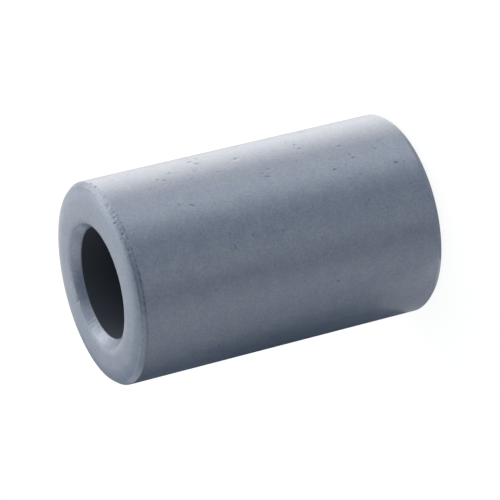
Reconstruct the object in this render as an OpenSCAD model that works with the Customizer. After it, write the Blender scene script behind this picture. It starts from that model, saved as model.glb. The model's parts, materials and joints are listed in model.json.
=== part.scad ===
// Cylindrical ferrite core: one pressed and sintered sleeve that slides over a round cable.
// Millimetres. The sleeve stands on one end: the origin is the centre of that end, +Z runs up the bore.
// Both ends are alike, each a crowned ring with a bevel round its rim and another round the bore's mouth.

/* [Sleeve] */
// Outer diameter
outer_d = 17.5; // [14.5:0.1:30]
// Diameter of the bore that the cable passes through
bore_d = 9.5; // [4:0.1:12.5]
// Length from end to end
sleeve_l = 28.5; // [15:0.5:60]

/* [Crowned ends] */
// Width of the flat ring that the sleeve stands on, half way through the wall
ring_w = 0.7; // [0.3:0.05:1.2]
// Radius of the arcs by which each end face falls away from its ring
crown_r = 6; // [4:0.5:12]

/* [Rim bevel] */
// Width across the end face of the bevel round the outer rim
rim_bevel_w = 0.42; // [0.2:0.02:0.8]
// Height along the outer wall of the bevel round the outer rim
rim_bevel_h = 0.48; // [0.2:0.02:1]

/* [Bore mouth bevel] */
// Width across the end face of the bevel round the bore's mouth
mouth_bevel_w = 0.7; // [0.3:0.05:0.9]
// Depth along the bore of the bevel round the bore's mouth
mouth_bevel_h = 0.6; // [0.3:0.05:1.2]

/* [Hidden] */
$fn = 180;

// Satin blue-grey of sintered ferrite
ferrite_grey = "#6c7484";

// Faces of the wall
outer_r = outer_d / 2;
bore_r = bore_d / 2;

// Edges of the flat ring, half way through the wall
ring_mid_r = (outer_r + bore_r) / 2;
ring_out_r = ring_mid_r + ring_w / 2;
ring_in_r = ring_mid_r - ring_w / 2;

// Where the two bevels start on the crowned face
rim_edge_r = outer_r - rim_bevel_w;
mouth_edge_r = bore_r + mouth_bevel_w;

// How far the crown's arc has fallen at a distance from the edge of the ring
function crown_drop(run) = crown_r - sqrt(crown_r * crown_r - run * run);
rim_edge_drop = crown_drop(rim_edge_r - ring_out_r);
mouth_edge_drop = crown_drop(ring_in_r - mouth_edge_r);

// Upright strip of the section between two radii, from one height to another
module strip(r_a, r_b, z_low, z_high) {
    translate([min(r_a, r_b), z_low])
        square([abs(r_b - r_a), z_high - z_low]);
}

// Section of the wall from an edge of the flat ring to a face, with the crown's arc at both ends
module crowned_strip(ring_edge_r, face_r) {
    for (arc_z = [crown_r, sleeve_l - crown_r])
        intersection() {
            translate([ring_edge_r, arc_z])
                circle(crown_r);
            strip(ring_edge_r, face_r, arc_z - 2 * crown_r, arc_z + 2 * crown_r);
        }
    strip(ring_edge_r, face_r, crown_r, sleeve_l - crown_r);
}

// Corner that a bevel takes off the standing end: its long side lies on the bevel and runs past both edges
module bevel_corner(edge_r, edge_drop, across, along) {
    polygon([
        [edge_r - across, edge_drop - along],
        [edge_r + 2 * across, edge_drop + 2 * along],
        [edge_r + 2 * across, edge_drop - along]
    ]);
}

// Repeats at the upper end what is drawn at the standing end
module at_both_ends() {
    children();
    translate([0, sleeve_l])
        mirror([0, 1])
            children();
}

// Section of the wall on one side of the bore's axis
module wall_section() {
    difference() {
        union() {
            strip(ring_in_r, ring_out_r, 0, sleeve_l);
            crowned_strip(ring_out_r, outer_r);
            crowned_strip(ring_in_r, bore_r);
        }
        at_both_ends() {
            bevel_corner(rim_edge_r, rim_edge_drop, rim_bevel_w, rim_bevel_h);
            bevel_corner(mouth_edge_r, mouth_edge_drop, -mouth_bevel_w, mouth_bevel_h);
        }
    }
}

// The whole core, pressed in one piece
module ferrite_core() {
    color(ferrite_grey)
        rotate_extrude()
            wall_section();
}

ferrite_core();
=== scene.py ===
"""Cylindrical ferrite core: a pressed and sintered sleeve, standing on a pale floor in a soft light tent."""

import json
import math
import random

import bmesh
import bpy
import numpy as np
from mathutils import Matrix, Vector, noise


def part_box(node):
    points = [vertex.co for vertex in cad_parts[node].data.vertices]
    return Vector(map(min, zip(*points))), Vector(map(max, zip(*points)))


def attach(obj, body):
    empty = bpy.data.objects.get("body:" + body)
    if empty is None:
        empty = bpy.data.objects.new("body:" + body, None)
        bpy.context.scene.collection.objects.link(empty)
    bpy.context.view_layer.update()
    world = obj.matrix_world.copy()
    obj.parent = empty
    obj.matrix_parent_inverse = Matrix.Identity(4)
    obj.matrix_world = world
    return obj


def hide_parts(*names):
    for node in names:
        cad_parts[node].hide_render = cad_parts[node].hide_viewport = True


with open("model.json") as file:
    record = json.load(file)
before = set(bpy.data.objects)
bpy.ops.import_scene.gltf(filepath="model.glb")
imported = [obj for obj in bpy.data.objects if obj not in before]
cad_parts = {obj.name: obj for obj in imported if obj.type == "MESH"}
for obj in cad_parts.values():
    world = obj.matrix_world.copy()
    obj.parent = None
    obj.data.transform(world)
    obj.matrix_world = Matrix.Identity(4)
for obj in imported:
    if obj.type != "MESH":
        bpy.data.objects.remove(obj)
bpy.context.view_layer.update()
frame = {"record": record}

MM = 0.001

# The photo's bore is a little wider than the stock size, and its mouth a little deeper
BORE_EXTRA = 0.05 * MM
MOUTH_EXTRA = 0.06 * MM

# Sizes of the core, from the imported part
mounts = {mount["name"]: mount for mount in frame["record"]["mounts"]}
core_low, core_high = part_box("ferrite_core")
core_length = core_high.z - core_low.z
wall_length = mounts["outer_wall"]["dims"]["length_mm"] * MM
outer_r = mounts["outer_wall"]["dims"]["r_mm"] * MM
bore_r = mounts["cable_bore"]["dims"]["r_mm"] * MM + BORE_EXTRA
rim_depth = (core_length - wall_length) / 2
mouth_depth = (core_length - mounts["cable_bore"]["dims"]["length_mm"] * MM) / 2 + MOUTH_EXTRA
ring_mid_r = mounts["upper_end"]["pos_m"][0]

# Flat ring of each end and the crown outside it, as on the part
RING_W = 0.7 * MM
CROWN_R = 6.0 * MM
# Towards the bore the crown is flatter than on the part, just before the rim it falls faster, and the
# bevels are narrower, each by no more than 0.12 mm, as the photo's shading has it
INNER_CROWN_R = 12.0 * MM
FALL_W = 0.50 * MM
FALL_R = 3.2 * MM
RIM_BEVEL_W = 0.30 * MM
MOUTH_BEVEL_W = 0.61 * MM
# The photo's mouth bevel lies a little off the bore's axis
MOUTH_SHIFT = Vector((-0.14, 0.08)) * MM
ring_out_r = ring_mid_r + RING_W / 2
ring_in_r = ring_mid_r - RING_W / 2
rim_edge_r = outer_r - RIM_BEVEL_W
mouth_edge_r = bore_r + MOUTH_BEVEL_W

# Mesh of the sleeve: the wall's faces are about 0.3 by 0.4 mm before the worn places are refined
AROUND = 180
WALL_ROWS = 70
BORE_ROWS = 30
CROWN_ROWS = 6
RIM_ROWS = 2
MOUTH_ROWS = 6
RIM_CUTS = 4
PIT_CUTS = 6
MOUTH_ROUND = 0.08 * MM
MOUTH_ROUND_SEGMENTS = 4
BORE_FACET = 0.035 * MM
# Lengths that differ by less count as the same, and vertices that are closer are joined
SAME = 0.001 * MM
JOINED = 0.0005 * MM

# Wear of the pressed surface: seed of its random places, and the most and the least that it sinks
SEED = 11
MAX_RECESS = 0.15 * MM
LEAST_RECESS = 0.0005 * MM

# Rims: how far from the bevel the mesh is refined, and how the bevel's inner edge and foot are rounded
RIM_REACH = 0.22 * MM
RIM_ROUND = 0.022 * MM
RIM_ROUND_W = 0.16 * MM
FOOT_ROUND = 0.006 * MM
FOOT_ROUND_W = 0.05 * MM
# The photo's near rim is rounder on one side and sharper on another. A side is given by the degrees of its
# middle, from the camera's side towards +X, and by the gain and offset of the cosine that fades it in.
RIM_WORN_SIDE = (35, 2.0, -0.6)
RIM_SHARP_SIDE = (-62, 3.0, -1.8)
RIM_WORN = 0.035 * MM
RIM_WORN_W = 0.32 * MM
# Dark lines along the rim's bevel, grooves whose darkness is painted shade with dust: share of the way from
# its foot to its inner edge, and strength
RIM_LINES = [(0.05, 1.5), (0.72, 0.8)]
RIM_LINE_W = 0.08 * MM
RIM_LINE_DEPTH = 0.03 * MM
RIM_LINE_DARK = 0.5
# Rough band that the lines lie in, how far both spill off the bevel, and the strength below which they end
RIM_BAND_DEPTH = 0.02 * MM
RIM_SPILL = 0.05 * MM
FAINTEST = 0.01
# Noise that breaks up the lines and the band: its mean, then the amount and the size in mm of a coarse part
# and of a fine one
LINE_NOISE = (0.7, 0.8, 0.45, 0.9, 0.16)
BAND_NOISE = (0.8, 0.6, 0.30, 0.8, 0.15)

# Wear round the upper rim: degrees from the camera's side towards +X, then the strength of the dark lines
# along its bevel, whose darkness is painted shade with dust, of the darkness of the band that they lie in,
# which is painted shade, and of the band's depth and the small chips
RIM_WEAR = [
    (-180, 0.2, 0.2, 0.4), (-60, 0.0, 0.05, 0.4), (-45, 0.1, 0.05, 0.45), (-30, 0.2, 0.02, 0.45),
    (-20, 0.45, 0.05, 0.5), (-12, 0.9, 0.2, 0.6), (2, 0.8, 0.14, 0.7), (12, 1.0, 0.06, 0.8),
    (25, 0.6, 0.03, 1.0), (40, 0.22, 0.0, 1.0), (55, 0.05, 0.0, 0.9), (72, 0.0, 0.0, 0.7),
    (82, 0.0, 0.0, 0.2), (130, 0.1, 0.1, 0.3), (180, 0.2, 0.2, 0.4),
]
# The lower rim has the same wear, but only this share of it
LOWER_RIM_SHARE = 0.25

# Chips that the photo shows on the upper rim: degrees from the camera's side towards +X, share of the way
# from the bevel's foot to its inner edge, and half width in mm
PHOTO_CHIPS = [
    (72, 0.1, 0.13), (65, 0.1, 0.15), (52, 0.3, 0.11), (46, 0.6, 0.12), (39, 0.3, 0.13), (36, 0.65, 0.12),
    (24, 0.5, 0.11), (14, 0.65, 0.11),
]
# Smaller chips on both rims: how many on each, and the ranges of the same values
CHIPS_PER_RIM = 70
CHIP_DEGREES = (0, 360)
CHIP_SHARES = (0.0, 0.9)
CHIP_HALF_WIDTHS = (0.04, 0.10)
# Depth of all chips, their darkness, which is painted shade with dust, and how far off the bevel they reach
CHIP_DEPTH = 0.05 * MM
CHIP_DARK = 0.5
CHIP_REACH = 0.15 * MM

# Pits that the photo shows on the wall: degrees from the camera's side towards +X, height in mm,
# half width and half length in mm, slant in degrees
PHOTO_PITS = [
    (-31, 10.3, 0.13, 0.26, 0), (27, 2.6, 0.22, 0.26, 40), (32, 8.1, 0.14, 0.24, 10),
    (48, 6.5, 0.16, 0.32, 10), (54, 9.8, 0.15, 0.28, 0), (38, 14.0, 0.15, 0.30, 15),
    (43, 13.6, 0.13, 0.26, 0), (59, 15.5, 0.14, 0.26, 20), (64, 18.7, 0.24, 0.34, 50),
    (69, 19.0, 0.28, 0.36, 50), (31, 21.5, 0.14, 0.34, 25), (54, 22.4, 0.14, 0.26, 0),
    (77, 7.8, 0.26, 0.34, 30), (72, 18.2, 0.14, 0.28, 40), (41, 14.3, 0.11, 0.18, 0),
    (59, 9.9, 0.11, 0.22, 0), (40, 6.1, 0.12, 0.20, 0), (37, 6.0, 0.12, 0.20, 0),
    (40, 3.7, 0.13, 0.30, 10), (50, 17.6, 0.13, 0.22, 0), (60, 21.5, 0.12, 0.28, 30),
    (56, 22.9, 0.12, 0.22, 0),
]
# Pits on the sides that the photo doesn't show: how many, and the ranges of the same values, where the half
# length is a multiple of the half width
OTHER_PITS = 22
PIT_DEGREES = (85, 315)
PIT_HEIGHTS = (1.5, 27.0)
PIT_HALF_WIDTHS = (0.12, 0.22)
PIT_STRETCHES = (1.2, 2.2)
PIT_SLANTS = (-40, 40)
# Depth of all pits, and their darkness, which is painted shade with dust
PIT_DEPTH = 0.035 * MM
PIT_DARK = 0.4

# Nicks by the edge of the upper mouth: degrees from the camera's side towards +X, half width in mm
MOUTH_NICKS = [(190, 0.24), (300, 0.15)]
NICK_R = mouth_edge_r + 0.15 * MM
NICK_DEPTH = 0.045 * MM

# Pits and nicks are ragged: size and amounts of their noise, how far such a dent can reach, and how far from
# a pit the mesh is refined, where 1 is the edge of an even dent
RAGGED_SIZE = 0.14 * MM
PIT_RAGGED = 0.45
NICK_RAGGED = 0.5
DENT_REACH = 1.6
PIT_REFINED = 1.9

# The mouths' edges are worn round on one side, which is given as for the rim
MOUTH_WORN_SIDE = (195, 1.2, 0.3)
MOUTH_WORN_FACE_W = 0.50 * MM
MOUTH_WORN_BEVEL_W = 0.30 * MM
MOUTH_WORN = MOUTH_WORN_FACE_W ** 2 / (2 * FALL_R)


def crown_drop(run, arc_r):
    """How far the crown's arc has fallen at a distance from the edge of its flat ring."""
    return arc_r - math.sqrt(arc_r ** 2 - run ** 2)


def face_drop(radius):
    """Depth of the end face at a radius: the crown, and its faster fall just before the rim."""
    if radius > ring_mid_r:
        run = max(radius - ring_out_r, 0)
        return crown_drop(run, CROWN_R) + crown_drop(max(radius - rim_edge_r + FALL_W, 0), FALL_R)
    return crown_drop(max(ring_in_r - radius, 0), INNER_CROWN_R)


rim_edge_drop = face_drop(rim_edge_r)
mouth_edge_drop = face_drop(mouth_edge_r)


def steps(start, end, count):
    """Values that lead from just after start up to end."""
    return [start + (end - start) * (i + 1) / count for i in range(count)]


def end_rings():
    """Radius, depth and share of the mouth's shift of each ring over an end, from the wall to the bore."""
    rings = []
    rim_radii = steps(outer_r, rim_edge_r, RIM_ROWS)
    rim_depths = steps(rim_depth, rim_edge_drop, RIM_ROWS)
    for radius, depth in zip(rim_radii, rim_depths):
        rings.append((radius, depth, 0))
    for radius in steps(rim_edge_r, ring_out_r, CROWN_ROWS) + [ring_in_r]:
        rings.append((radius, face_drop(radius), 0))
    for radius, share in zip(steps(ring_in_r, mouth_edge_r, CROWN_ROWS), steps(0, 1, CROWN_ROWS)):
        rings.append((radius, face_drop(radius), share))
    for share in steps(1, 0, MOUTH_ROWS):
        radius = bore_r + share * (mouth_edge_r - bore_r)
        rings.append((radius, mouth_depth + share * (mouth_edge_drop - mouth_depth), share))
    return rings


def pick(piece, kind, test):
    """In edit mode, selects only the edges or faces that pass a test."""
    bpy.ops.mesh.select_all(action="DESELECT")
    bpy.ops.mesh.select_mode(type={"edges": "EDGE", "faces": "FACE"}[kind])
    mesh = bmesh.from_edit_mesh(piece.data)
    for element in getattr(mesh, kind):
        if test(element):
            element.select_set(True)
    mesh.select_flush_mode()
    bmesh.update_edit_mesh(piece.data)


def near(value, other):
    """True where two lengths count as the same."""
    return abs(value - other) < SAME


def turn_end(piece, at_top):
    """Extrudes the wall's edge over one end, ring by ring, to the wall of the bore."""
    radius = outer_r
    middle = Vector((0, 0, core_length - rim_depth if at_top else rim_depth))
    pick(piece, "edges", lambda edge: all(near(vert.co.z, middle.z) for vert in edge.verts))
    for next_radius, depth, share in end_rings():
        next_middle = (MOUTH_SHIFT * share).to_3d()
        next_middle.z = core_length - depth if at_top else depth
        bpy.ops.mesh.extrude_region_move(TRANSFORM_OT_translate={"value": next_middle - middle})
        scale = next_radius / radius
        bpy.ops.transform.resize(value=(scale, scale, 1), center_override=next_middle)
        radius = next_radius
        middle = next_middle


def pick_bore_edges(piece, depth):
    """In edit mode, selects the edges round the bore at a depth below each end."""
    ends = (depth, core_length - depth)
    pick(piece, "edges", lambda edge: all(
        near(vert.co.to_2d().length, bore_r) and any(near(vert.co.z, end) for end in ends)
        for vert in edge.verts
    ))


def press_sleeve():
    """The sleeve as it leaves the press: a tube turned over at both ends and joined through the bore."""
    bpy.ops.object.select_all(action="DESELECT")
    bpy.ops.mesh.primitive_cylinder_add(
        vertices=AROUND, radius=outer_r, depth=wall_length, end_fill_type="NOTHING",
        location=(0, 0, core_length / 2),
    )
    piece = bpy.context.object
    piece.name = "sintered_sleeve"
    bpy.ops.object.transform_apply(location=True, rotation=True, scale=True)
    bpy.ops.object.mode_set(mode="EDIT")
    pick(piece, "edges", lambda edge: abs(edge.verts[0].co.z - edge.verts[1].co.z) > wall_length / 2)
    bpy.ops.mesh.subdivide(number_cuts=WALL_ROWS - 1)
    turn_end(piece, at_top=True)
    turn_end(piece, at_top=False)
    pick_bore_edges(piece, mouth_depth)
    bpy.ops.mesh.bridge_edge_loops(number_cuts=BORE_ROWS - 1)
    pick_bore_edges(piece, mouth_depth)
    bpy.ops.mesh.bevel(offset=BORE_FACET, segments=1, affect="EDGES")
    pick_bore_edges(piece, mouth_depth + BORE_FACET)
    bpy.ops.mesh.mark_sharp()
    pick(piece, "edges", lambda edge: all(
        near((vert.co.to_2d() - MOUTH_SHIFT).length, mouth_edge_r) for vert in edge.verts
    ))
    bpy.ops.mesh.bevel(offset=MOUTH_ROUND, segments=MOUTH_ROUND_SEGMENTS, affect="EDGES")
    bpy.ops.mesh.select_all(action="SELECT")
    bpy.ops.mesh.remove_doubles(threshold=JOINED)
    bpy.ops.mesh.normals_make_consistent(inside=False)
    bpy.ops.object.mode_set(mode="OBJECT")
    bpy.ops.object.shade_smooth()
    return piece


def pits():
    """Pits of the wall: those in the photo, and more like them on the sides that it doesn't show."""
    rng = random.Random(SEED)
    chosen = list(PHOTO_PITS)
    for _ in range(OTHER_PITS):
        degrees = rng.uniform(*PIT_DEGREES)
        height = rng.uniform(*PIT_HEIGHTS)
        half_width = rng.uniform(*PIT_HALF_WIDTHS)
        half_length = half_width * rng.uniform(*PIT_STRETCHES)
        slant = rng.uniform(*PIT_SLANTS)
        chosen.append((degrees, height, half_width, half_length, slant))
    return chosen


def chips(end_seed):
    """Small chips along one rim: degrees, share of the way across the bevel, and half width in mm."""
    rng = random.Random(end_seed)
    ranges = (CHIP_DEGREES, CHIP_SHARES, CHIP_HALF_WIDTHS)
    return [[rng.uniform(*limits) for limits in ranges] for _ in range(CHIPS_PER_RIM)]


def grain(point, size):
    """Smooth noise from -1 to 1 at a point, with features of the given size."""
    return noise.noise(Vector(point) / size)


def broken(point, mean, coarse, coarse_mm, fine, fine_mm):
    """Noise about a mean, with a coarse and a fine part, and never below 0."""
    return max(mean + coarse * grain(point, coarse_mm * MM) + fine * grain(point, fine_mm * MM), 0)


def dent(distance):
    """Depth of a dent from 1 at its middle to 0 at its edge, where the distance is 1."""
    return np.clip(1 - distance ** 2, 0, 1) ** 1.5


def degrees_apart(a, b):
    """Difference of two angles, from -180 to 180 degrees."""
    return (a - b + 180) % 360 - 180


def degrees_at(points):
    """Angle of each point in degrees from the camera's side towards +X."""
    return np.degrees(np.arctan2(points[:, 0], -points[:, 1]))


def radius_at(points):
    """Distance of each point from the bore's axis."""
    return np.hypot(points[:, 0], points[:, 1])


def mouth_radius_at(points):
    """Distance of each point from the middle line of the mouths' bevels."""
    return np.hypot(points[:, 0] - MOUTH_SHIFT.x, points[:, 1] - MOUTH_SHIFT.y)


def depth_at(points):
    """Depth of each point below the nearer end."""
    return np.minimum(points[:, 2], core_length - points[:, 2])


def side_share(degrees, middle, gain, offset):
    """How fully a side's wear has set in at an angle: 1 about the side's middle and 0 away from it."""
    return np.clip(gain * np.cos(np.radians(degrees - middle)) + offset, 0, 1)


def pit_distance(points, pit):
    """Distance from a pit's middle, where 1 is its edge."""
    degrees, height, half_width, half_length, slant = pit
    across = np.radians(degrees_apart(degrees_at(points), degrees)) * outer_r
    along = points[:, 2] - height * MM
    c = math.cos(math.radians(slant))
    s = math.sin(math.radians(slant))
    return np.hypot(
        (across * c - along * s) / (half_width * MM),
        (across * s + along * c) / (half_length * MM),
    )


def centres(piece):
    """Middles of the faces."""
    flat = np.empty(len(piece.data.polygons) * 3)
    piece.data.polygons.foreach_get("center", flat)
    return flat.reshape(-1, 3)


def refine(piece, wanted, cuts):
    """Divides the wanted faces."""
    bpy.ops.object.mode_set(mode="EDIT")
    pick(piece, "faces", lambda face: wanted[face.index])
    bpy.ops.mesh.subdivide(number_cuts=cuts)
    bpy.ops.object.mode_set(mode="OBJECT")


def on_rim(points, reach):
    """Which points lie on the bevel of a rim, or within reach of it."""
    return (radius_at(points) > rim_edge_r - reach) & (depth_at(points) < rim_depth + reach)


def rim_wear(points):
    """Depth of the wear on both rims, a mottled band with two ragged lines in it and chips, and its painted
    shade and dust.
    """
    degrees = degrees_at(points)
    radius = radius_at(points)
    depth = depth_at(points)
    upper = points[:, 2] > core_length / 2
    stops = [row[0] for row in RIM_WEAR]
    lines, band, rough = [np.interp(degrees, stops, [row[i] for row in RIM_WEAR]) for i in (1, 2, 3)]
    strength = np.where(upper, 1.0, LOWER_RIM_SHARE)
    bevel_length = math.hypot(RIM_BEVEL_W, rim_depth - rim_edge_drop)
    to_edge = np.hypot(radius - rim_edge_r, depth - rim_edge_drop)
    to_foot = np.hypot(radius - outer_r, depth - rim_depth)
    share = to_foot / (to_edge + to_foot)
    on_bevel = strength * np.exp(-((to_edge + to_foot - bevel_length) / RIM_SPILL) ** 2)
    rounded = 1 - upper * side_share(degrees, *RIM_SHARP_SIDE)
    sunk = rounded * RIM_ROUND * np.exp(-(to_edge / RIM_ROUND_W) ** 2)
    sunk += FOOT_ROUND * np.exp(-(to_foot / FOOT_ROUND_W) ** 2)
    worn = upper * side_share(degrees, *RIM_WORN_SIDE)
    sunk += worn * RIM_WORN * np.exp(-(to_edge / RIM_WORN_W) ** 2)
    shade_and_dust = np.zeros(len(points))
    for i in np.flatnonzero(on_bevel > FAINTEST):
        mottle = broken(points[i], *BAND_NOISE)
        line = lines[i] * broken(points[i], *LINE_NOISE) * sum(
            amount * math.exp(-((share[i] - place) * bevel_length / RIM_LINE_W) ** 2)
            for place, amount in RIM_LINES
        )
        sunk[i] += on_bevel[i] * (RIM_LINE_DEPTH * line + RIM_BAND_DEPTH * rough[i] * mottle)
        shade_and_dust[i] += on_bevel[i] * (RIM_LINE_DARK * line + band[i] * mottle)
    for at_top in (False, True):
        this_end = on_rim(points, CHIP_REACH) & (upper == at_top)
        marks = [(chip, rough * strength) for chip in chips(SEED + at_top)]
        if at_top:
            marks += [(chip, 1.0) for chip in PHOTO_CHIPS]
        for (chip_degrees, place, half_width), amount in marks:
            across = np.radians(degrees_apart(degrees, chip_degrees)) * outer_r
            along = (share - place) * bevel_length
            chipped = this_end * amount * dent(np.hypot(across, along) / (half_width * MM))
            sunk += CHIP_DEPTH * chipped
            shade_and_dust += CHIP_DARK * chipped
    return sunk, shade_and_dust


def mouth_wear(points):
    """Depth of the wear on one side of the mouths: it grows towards the edges and fades on the bevels."""
    radius = mouth_radius_at(points)
    share = side_share(degrees_at(points), *MOUTH_WORN_SIDE)
    on_face = np.clip(1 - (radius - mouth_edge_r) / MOUTH_WORN_FACE_W, 0, 1) ** 2
    on_bevel = np.clip(1 - (mouth_edge_r - radius) / MOUTH_WORN_BEVEL_W, 0, 1)
    in_mouth = (radius < ring_mid_r) & (depth_at(points) < mouth_depth)
    return in_mouth * share * MOUTH_WORN * np.where(radius > mouth_edge_r, on_face, on_bevel)


def nick_distance(points, nick):
    """Distance from the middle of a nick by the upper mouth, where 1 is the nick's edge."""
    degrees, half_width = nick
    across = np.radians(degrees_apart(degrees_at(points), degrees)) * NICK_R
    outward = mouth_radius_at(points) - NICK_R
    up = points[:, 2] - (core_length - mouth_edge_drop)
    return np.sqrt(across ** 2 + outward ** 2 + up ** 2) / (half_width * MM)


def wear(piece):
    """Roughens the rims, sinks the pits and nicks, and keeps their painted shade and dust for the material.
    """
    refine(piece, on_rim(centres(piece), RIM_REACH), RIM_CUTS)
    middles = centres(piece)
    on_wall = ~on_rim(middles, RIM_REACH) & (radius_at(middles) > rim_edge_r)
    wanted = np.zeros(len(middles), bool)
    for pit in pits():
        wanted |= on_wall & (pit_distance(middles, pit) < PIT_REFINED)
    for nick in MOUTH_NICKS:
        wanted |= nick_distance(middles, nick) < DENT_REACH
    refine(piece, wanted, PIT_CUTS)
    flat = np.empty(len(piece.data.vertices) * 3)
    piece.data.vertices.foreach_get("co", flat)
    points = flat.reshape(-1, 3)
    sunk, shade_and_dust = rim_wear(points)
    sunk += mouth_wear(points)
    on_wall = radius_at(points) > rim_edge_r
    for pit in pits():
        reached = np.flatnonzero(on_wall & (pit_distance(points, pit) < DENT_REACH))
        for i, distance in zip(reached, pit_distance(points[reached], pit)):
            depth = dent(distance * (1 + PIT_RAGGED * grain(points[i], RAGGED_SIZE)))
            sunk[i] += PIT_DEPTH * depth
            shade_and_dust[i] += PIT_DARK * depth
    for nick in MOUTH_NICKS:
        reached = np.flatnonzero(nick_distance(points, nick) < DENT_REACH)
        for i, distance in zip(reached, nick_distance(points[reached], nick)):
            depth = dent(distance * (1 + NICK_RAGGED * grain(points[i], RAGGED_SIZE)))
            sunk[i] += NICK_DEPTH * depth
    group = piece.vertex_groups.new(name="sunk")
    for i in np.flatnonzero(sunk > LEAST_RECESS):
        group.add([int(i)], min(float(sunk[i]) / MAX_RECESS, 1.0), "REPLACE")
    sink = piece.modifiers.new("sink", "DISPLACE")
    sink.vertex_group = "sunk"
    sink.mid_level = 0
    sink.strength = -MAX_RECESS
    bpy.ops.object.modifier_apply(modifier="sink")
    # The wear attribute keeps this darkness: painted shade in the pits, chips and rim lines, with dust
    kept = piece.data.attributes.new("wear", "FLOAT", "POINT")
    kept.data.foreach_set("value", np.clip(shade_and_dust, 0, 1).astype(np.float32))
    bpy.ops.object.shade_smooth()


sleeve = press_sleeve()
wear(sleeve)
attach(sleeve, "root")
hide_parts("ferrite_core")


def linear(hex_colour):
    """Linear colour from an sRGB hex value."""
    parts = [int(hex_colour[i:i + 2], 16) / 255 for i in (1, 3, 5)]
    return [c / 12.92 if c <= 0.04045 else ((c + 0.055) / 1.055) ** 2.4 for c in parts] + [1.0]


def add_node(tree, kind, settings=None, links=None):
    """Adds a node; settings go to its own values or sockets, links feed its sockets."""
    node = tree.nodes.new(kind)
    for name, value in (settings or {}).items():
        if str(name) in node.bl_rna.properties:
            setattr(node, name, value)
        else:
            node.inputs[name].default_value = value
    for name, source in (links or {}).items():
        tree.links.new(source, node.inputs[name])
    return node


def fresh_tree(owner):
    """Node tree of a material or world, emptied."""
    owner.use_nodes = True
    owner.node_tree.nodes.clear()
    return owner.node_tree


# Skin of the core: sizes of its clouds, grain, pores and streaks, and the height of its relief
CLOUD_SIZE = 1.2 * MM
GRAIN_SIZE = 0.2 * MM
PORE_SIZE = 0.5 * MM
STREAK_SIZE = 0.3 * MM
RELIEF_HEIGHT = 0.01 * MM
# Height of the streaks against that of the grain, and half the width of the ring in which they fade out
STREAK_SHARE = 1.5
STREAK_FADE = 0.1 * MM
# The bore's look starts this far off its wall, so that rounding leaves no gaps in it
BORE_SKIN = 0.006 * MM


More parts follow.
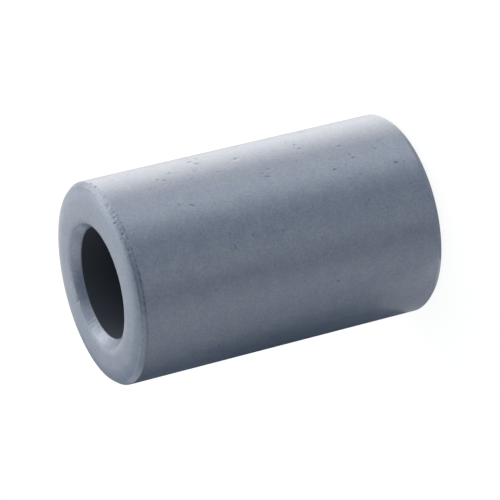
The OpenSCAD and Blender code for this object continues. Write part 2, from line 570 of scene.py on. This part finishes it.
# Sintered nickel-zinc ferrite: a dense dark ceramic with a high index and a satin skin from the die
def sintered_ferrite():
    """Material of the core."""
    material = bpy.data.materials.new("sintered_ferrite")
    tree = fresh_tree(material)
    place = add_node(tree, "ShaderNodeTexCoord").outputs["Object"]
    # Faint clouds of a bluer and a greyer fired colour, about a millimetre across
    clouds = add_node(tree, "ShaderNodeTexNoise", {"Scale": 1 / CLOUD_SIZE, "Detail": 3.0},
                      {"Vector": place})
    tone = add_node(tree, "ShaderNodeMapRange", {"From Min": 0.3, "From Max": 0.7},
                    {"Value": clouds.outputs["Fac"]})
    fired = add_node(tree, "ShaderNodeMix", {
        "data_type": "RGBA", 6: linear("#566276"), 7: linear("#626b79"),
    }, {0: tone.outputs["Result"]})
    # Powder grain: finer on the real part, drawn at 0.2 mm so that it shows
    powder = add_node(tree, "ShaderNodeTexNoise", {"Scale": 1 / GRAIN_SIZE, "Detail": 2.0},
                      {"Vector": place})
    speck = add_node(tree, "ShaderNodeMapRange", {
        "From Min": 0.3, "From Max": 0.7, "To Min": 0.8, "To Max": 1.2,
    }, {"Value": powder.outputs["Fac"]})
    grained = add_node(tree, "ShaderNodeMix", {"data_type": "RGBA", "blend_type": "MULTIPLY", 0: 1.0},
                       {6: fired.outputs[2], 7: speck.outputs["Result"]})
    # A few dark pores, and dust and shade in the pits and along the rims
    pores = add_node(tree, "ShaderNodeTexNoise", {"Scale": 1 / PORE_SIZE, "Detail": 0.0},
                     {"Vector": place})
    pore = add_node(tree, "ShaderNodeMapRange", {"From Min": 0.78, "From Max": 0.86, "To Max": 0.35},
                    {"Value": pores.outputs["Fac"]})
    marks = add_node(tree, "ShaderNodeAttribute", {"attribute_name": "wear"})
    pores_dust_and_shade = add_node(tree, "ShaderNodeMath", {"operation": "MAXIMUM"},
                    {0: marks.outputs["Fac"], 1: pore.outputs[0]})
    # worn carries the pores, and painted shade with dust in the pits and along the rims: it darkens the
    # colour and dulls the gloss
    worn = pores_dust_and_shade.outputs[0]
    cover = add_node(tree, "ShaderNodeMapRange", {"To Max": 0.75}, {"Value": worn})
    surface = add_node(tree, "ShaderNodeMix", {"data_type": "RGBA", 7: linear("#2b2f36")},
                       {0: cover.outputs["Result"], 6: grained.outputs[2]})
    # The wall of the bore is dull, and its colour is darkened as painted shade
    axes = add_node(tree, "ShaderNodeSeparateXYZ", links={"Vector": place})
    flat = add_node(tree, "ShaderNodeCombineXYZ", links={"X": axes.outputs["X"], "Y": axes.outputs["Y"]})
    radius = add_node(tree, "ShaderNodeVectorMath", {"operation": "LENGTH"}, {0: flat.outputs["Vector"]})
    inside = add_node(tree, "ShaderNodeMath", {"operation": "LESS_THAN", 1: bore_r + BORE_SKIN},
                      {0: radius.outputs["Value"]})
    colour = add_node(tree, "ShaderNodeMix", {"data_type": "RGBA", 7: linear("#42464d")},
                      {0: inside.outputs[0], 6: surface.outputs[2]})
    dull = add_node(tree, "ShaderNodeMapRange", {"To Min": 0.32, "To Max": 0.6}, {"Value": worn})
    rough = add_node(tree, "ShaderNodeMix", {3: 0.6}, {0: inside.outputs[0], 2: dull.outputs["Result"]})
    sheen = add_node(tree, "ShaderNodeMapRange", {"To Min": 0.5, "To Max": 0.15}, {"Value": worn})
    gloss = add_node(tree, "ShaderNodeMix", {3: 0.1}, {0: inside.outputs[0], 2: sheen.outputs["Result"]})
    # Fine streaks that the tool left down the bevel of the mouth, about 0.3 mm apart
    spoke = add_node(tree, "ShaderNodeVectorMath", {"operation": "NORMALIZE"}, {0: flat.outputs["Vector"]})
    streaks = add_node(tree, "ShaderNodeTexNoise", {"Scale": bore_r / STREAK_SIZE, "Detail": 1.0},
                       {"Vector": spoke.outputs["Vector"]})
    streak = add_node(tree, "ShaderNodeMapRange", {"From Min": 0.3, "From Max": 0.7, "To Min": -1.0},
                      {"Value": streaks.outputs["Fac"]})
    within = add_node(tree, "ShaderNodeMapRange", {
        "From Min": mouth_edge_r + STREAK_FADE, "From Max": mouth_edge_r - STREAK_FADE,
        "To Max": STREAK_SHARE,
    }, {"Value": radius.outputs["Value"]})
    on_bevel = add_node(tree, "ShaderNodeMix", {3: 0.0}, {0: inside.outputs[0], 2: within.outputs["Result"]})
    height = add_node(tree, "ShaderNodeMath", {"operation": "MULTIPLY_ADD"}, {
        0: streak.outputs["Result"], 1: on_bevel.outputs[0], 2: powder.outputs["Fac"],
    })
    relief = add_node(tree, "ShaderNodeBump", {"Strength": 0.5, "Distance": RELIEF_HEIGHT},
                      {"Height": height.outputs[0]})
    shader = add_node(tree, "ShaderNodeBsdfPrincipled", {"IOR": 2.0}, {
        "Base Color": colour.outputs[2], "Roughness": rough.outputs[0],
        "Specular IOR Level": gloss.outputs[0], "Normal": relief.outputs["Normal"],
    })
    add_node(tree, "ShaderNodeOutputMaterial", links={"Surface": shader.outputs["BSDF"]})
    return material


sleeve.data.materials.clear()
sleeve.data.materials.append(sintered_ferrite())

# Light tent round the core: five rings of cloth, one above the other. Each lists its brightness by
# direction, in degrees from the camera's side towards +X, with the tint of the cloth there.
COOL = (0.95, 1.0, 1.07)
NEUTRAL = (1.02, 1.0, 0.97)
PALE = (0.98, 1.0, 1.02)
TENT_FOOT = [
    (0, 0.66, COOL), (60, 0.68, COOL), (110, 0.75, NEUTRAL), (150, 0.50, NEUTRAL), (180, 0.35, COOL),
    (210, 0.40, COOL), (250, 0.65, COOL), (290, 0.80, COOL), (330, 0.70, COOL), (360, 0.66, COOL),
]
TENT_LOW = [
    (0, 0.85, COOL), (15, 0.56, COOL), (30, 0.50, COOL), (38, 0.56, COOL), (48, 1.18, COOL),
    (62, 1.97, COOL), (76, 1.92, COOL), (94, 1.23, NEUTRAL), (110, 2.30, NEUTRAL), (125, 2.75, NEUTRAL),
    (145, 2.45, NEUTRAL), (157, 1.65, NEUTRAL), (167, 1.00, NEUTRAL), (177, 0.03, NEUTRAL),
    (200, 0.02, COOL), (240, 0.05, COOL), (262, 0.36, COOL), (285, 0.70, COOL), (305, 0.95, COOL),
    (316, 0.82, COOL), (326, 0.45, PALE), (336, 0.47, PALE), (346, 0.85, PALE), (360, 0.85, COOL),
]
TENT_HIGH = [
    (0, 0.50, COOL), (30, 0.85, COOL), (55, 1.45, COOL), (72, 1.90, COOL), (85, 2.20, COOL),
    (100, 2.42, COOL), (115, 2.95, COOL), (128, 2.75, NEUTRAL), (138, 2.40, NEUTRAL),
    (148, 0.95, NEUTRAL), (160, 1.00, PALE), (170, 1.28, PALE), (177, 1.50, PALE), (180, 1.32, PALE),
    (183, 0.45, COOL), (192, 0.33, COOL), (203, 0.58, COOL), (215, 1.22, COOL), (228, 1.12, COOL),
    (240, 0.70, COOL), (250, 0.45, PALE), (290, 0.50, PALE), (325, 0.45, COOL), (345, 0.42, COOL),
    (360, 0.50, COOL),
]
TENT_KEY = [
    (0, 0.40, COOL), (45, 0.90, COOL), (75, 1.66, COOL), (95, 1.70, COOL), (106, 1.65, COOL),
    (118, 3.20, COOL), (128, 5.30, COOL), (138, 3.50, COOL), (148, 2.10, COOL), (160, 2.50, COOL),
    (169, 2.65, COOL), (178, 0.90, COOL), (186, 0.75, COOL), (200, 0.75, COOL), (215, 0.90, COOL),
    (230, 1.60, COOL), (242, 1.90, COOL), (290, 0.92, COOL), (315, 0.42, COOL), (330, 0.36, COOL),
    (360, 0.40, COOL),
]
TENT_TOP = [
    (0, 0.02, COOL), (45, 0.17, COOL), (75, 0.77, COOL), (95, 1.32, COOL), (128, 1.20, COOL),
    (180, 0.45, COOL), (240, 1.20, COOL), (290, 1.15, COOL), (315, 0.20, COOL), (330, 0.05, COOL),
    (360, 0.02, COOL),
]
# Rings from the foot upwards, with the heights on the unit sphere between which each takes over from the
# one below
TENT = [
    (TENT_FOOT, None, None), (TENT_LOW, -0.80, -0.55), (TENT_HIGH, -0.28, 0.08), (TENT_KEY, 0.40, 0.60),
    (TENT_TOP, 0.72, 0.90),
]


def light_tent():
    """World that lights the core from the tent and shows the camera plain white."""
    world = bpy.data.worlds.new("light_tent")
    bpy.context.scene.world = world
    tree = fresh_tree(world)
    place = add_node(tree, "ShaderNodeTexCoord")
    axes = add_node(tree, "ShaderNodeSeparateXYZ", links={"Vector": place.outputs["Generated"]})
    forward = add_node(tree, "ShaderNodeMath", {"operation": "MULTIPLY", 1: -1.0}, {0: axes.outputs["Y"]})
    angle = add_node(tree, "ShaderNodeMath", {"operation": "ARCTAN2"},
                     {0: axes.outputs["X"], 1: forward.outputs[0]})
    turns = add_node(tree, "ShaderNodeMath", {"operation": "DIVIDE", 1: 2 * math.pi}, {0: angle.outputs[0]})
    share = add_node(tree, "ShaderNodeMath", {"operation": "FRACT"}, {0: turns.outputs[0]})
    wall = None
    for panels, low, high in TENT:
        ramp = add_node(tree, "ShaderNodeValToRGB", links={"Fac": share.outputs[0]})
        stops = ramp.color_ramp.elements
        while len(stops) < len(panels):
            stops.new(0.5)
        for stop, (degrees, brightness, tint) in zip(stops, panels):
            stop.position = degrees / 360
            stop.color = [brightness * part for part in tint] + [1.0]
        if wall is None:
            wall = ramp.outputs["Color"]
            continue
        height = add_node(tree, "ShaderNodeMapRange", {
            "interpolation_type": "SMOOTHSTEP", "From Min": low, "From Max": high,
        }, {"Value": axes.outputs["Z"]})
        wall = add_node(tree, "ShaderNodeMix", {"data_type": "RGBA"}, {
            0: height.outputs["Result"], 6: wall, 7: ramp.outputs["Color"],
        }).outputs[2]
    path = add_node(tree, "ShaderNodeLightPath")
    seen = add_node(tree, "ShaderNodeMix", {"data_type": "RGBA", 7: linear("#ffffff")},
                    {0: path.outputs["Is Camera Ray"], 6: wall})
    background = add_node(tree, "ShaderNodeBackground", links={"Color": seen.outputs[2]})
    add_node(tree, "ShaderNodeOutputWorld", links={"Surface": background.outputs["Background"]})


light_tent()

# Floor, just under the foot of the core so that the two share no plane
FLOOR_R = 800 * MM
FLOOR_DROP = 0.02 * MM
FLOOR_GLOW = 0.91


# Matt floor paint: its grey keeps a faint shadow of the core, and a glow lifts it to white
def pale_floor_paint():
    """Material of the floor."""
    material = bpy.data.materials.new("pale_floor_paint")
    tree = fresh_tree(material)
    paint = add_node(tree, "ShaderNodeBsdfDiffuse", {"Color": linear("#656565")})
    glow = add_node(tree, "ShaderNodeEmission", {"Strength": FLOOR_GLOW})
    both = add_node(tree, "ShaderNodeAddShader",
                    links={0: paint.outputs["BSDF"], 1: glow.outputs["Emission"]})
    add_node(tree, "ShaderNodeOutputMaterial", links={"Surface": both.outputs["Shader"]})
    return material


def pale_floor():
    """Floor that the camera sees, and that sends no light to the core."""
    bpy.ops.object.select_all(action="DESELECT")
    bpy.ops.mesh.primitive_circle_add(
        vertices=64, radius=FLOOR_R, fill_type="NGON", location=(0, 0, -FLOOR_DROP),
    )
    floor = bpy.context.object
    floor.name = "pale_floor"
    floor.data.materials.append(pale_floor_paint())
    floor.visible_diffuse = False
    floor.visible_glossy = False
    floor.visible_shadow = False


pale_floor()

# White cards that lie on the floor and light the lower wall: one by the foot of the core, and one farther
# out, which the upper part of the wall mirrors. Place and size in mm, and brightness.
CARDS = [
    ("foot_card", (-12.0, -2.7), (14.0, 11.0), 0.43),
    ("far_card", (-78.0, -4.0), (36.0, 75.0), 0.28),
]


def lay_card(name, place, size, brightness):
    """Card that faces up, drawn as a lamp of even brightness that the camera doesn't see."""
    bpy.ops.object.light_add(
        type="AREA", location=(place[0] * MM, place[1] * MM, 0), rotation=(math.pi, 0, 0),
    )
    lamp = bpy.context.object
    lamp.name = name
    lamp.data.shape = "RECTANGLE"
    lamp.data.size = size[0] * MM
    lamp.data.size_y = size[1] * MM
    lamp.data.energy = brightness * math.pi * lamp.data.size * lamp.data.size_y
    lamp.visible_camera = False


for card in CARDS:
    lay_card(*card)

# A black gauze beside the core, which shades the wall that is lowest in the picture: its distance from the
# axis, its span along Y and its heights in mm, and how dense it is in its middle
GAUZE_X = -13.0
GAUZE_SPAN = (-5.0, 6.0)
GAUZE_HEIGHTS = (2.0, 26.0)
GAUZE_DENSITY = 0.9
# Shares of its width and height over which it thins out to nothing
GAUZE_FADES = {"X": 0.5, "Y": 0.4}


# Black gauze: thins out towards its edges, so that its shade on the core has no hard line
def black_gauze():
    """Material of the gauze."""
    material = bpy.data.materials.new("black_gauze")
    tree = fresh_tree(material)
    place = add_node(tree, "ShaderNodeTexCoord")
    axes = add_node(tree, "ShaderNodeSeparateXYZ", links={"Vector": place.outputs["Generated"]})
    fades = []
    for axis, share in GAUZE_FADES.items():
        inward = add_node(tree, "ShaderNodeMath", {"operation": "PINGPONG", 1: 0.5}, {0: axes.outputs[axis]})
        fade = add_node(tree, "ShaderNodeMapRange", {"interpolation_type": "SMOOTHSTEP", "From Max": share},
                        {"Value": inward.outputs[0]})
        fades.append(fade.outputs["Result"])
    both = add_node(tree, "ShaderNodeMath", {"operation": "MULTIPLY"}, {0: fades[0], 1: fades[1]})
    cover = add_node(tree, "ShaderNodeMath", {"operation": "MULTIPLY", 1: GAUZE_DENSITY},
                     {0: both.outputs[0]})
    thread = add_node(tree, "ShaderNodeBsdfDiffuse", {"Color": linear("#0a0a0a")})
    gap = add_node(tree, "ShaderNodeBsdfTransparent")
    cloth = add_node(tree, "ShaderNodeMixShader",
                     links={0: cover.outputs[0], 1: gap.outputs["BSDF"], 2: thread.outputs["BSDF"]})
    add_node(tree, "ShaderNodeOutputMaterial", links={"Surface": cloth.outputs["Shader"]})
    return material


def hang_gauze():
    """Upright sheet of gauze that the camera doesn't see."""
    middle = (GAUZE_X * MM, sum(GAUZE_SPAN) / 2 * MM, sum(GAUZE_HEIGHTS) / 2 * MM)
    bpy.ops.object.select_all(action="DESELECT")
    bpy.ops.mesh.primitive_plane_add(size=1, location=middle, rotation=(math.pi / 2, 0, math.pi / 2))
    gauze = bpy.context.object
    gauze.name = "black_gauze"
    width = GAUZE_SPAN[1] - GAUZE_SPAN[0]
    height = GAUZE_HEIGHTS[1] - GAUZE_HEIGHTS[0]
    gauze.scale = (width * MM, height * MM, 1)
    gauze.data.materials.append(black_gauze())
    gauze.visible_camera = False


hang_gauze()

# Camera: the photo's view, rolled so that the standing core lies across the picture
CAMERA_ELEVATION = math.radians(22.895)
CAMERA_ROLL = math.radians(-103.824)
CAMERA_DISTANCE = 281.38 * MM
CAMERA_OFFSET = Vector((0.075, -0.203, 0)) * MM
CAMERA_LENS = 237.6


def place_camera():
    """Camera on the -Y side, aimed close to the middle of the core."""
    data = bpy.data.cameras.new("camera")
    data.lens = CAMERA_LENS
    data.sensor_width = 36
    data.clip_start = 1 * MM
    data.clip_end = 10
    camera = bpy.data.objects.new("camera", data)
    bpy.context.scene.collection.objects.link(camera)
    turn = Matrix.Rotation(math.pi / 2 - CAMERA_ELEVATION, 4, "X") @ Matrix.Rotation(CAMERA_ROLL, 4, "Z")
    centre = Vector((0, 0, core_length / 2))
    camera.matrix_world = Matrix.Translation(centre) @ turn @ Matrix.Translation(
        CAMERA_OFFSET + Vector((0, 0, CAMERA_DISTANCE)))
    bpy.context.scene.camera = camera


place_camera()
bpy.context.scene.view_settings.view_transform = "Standard"
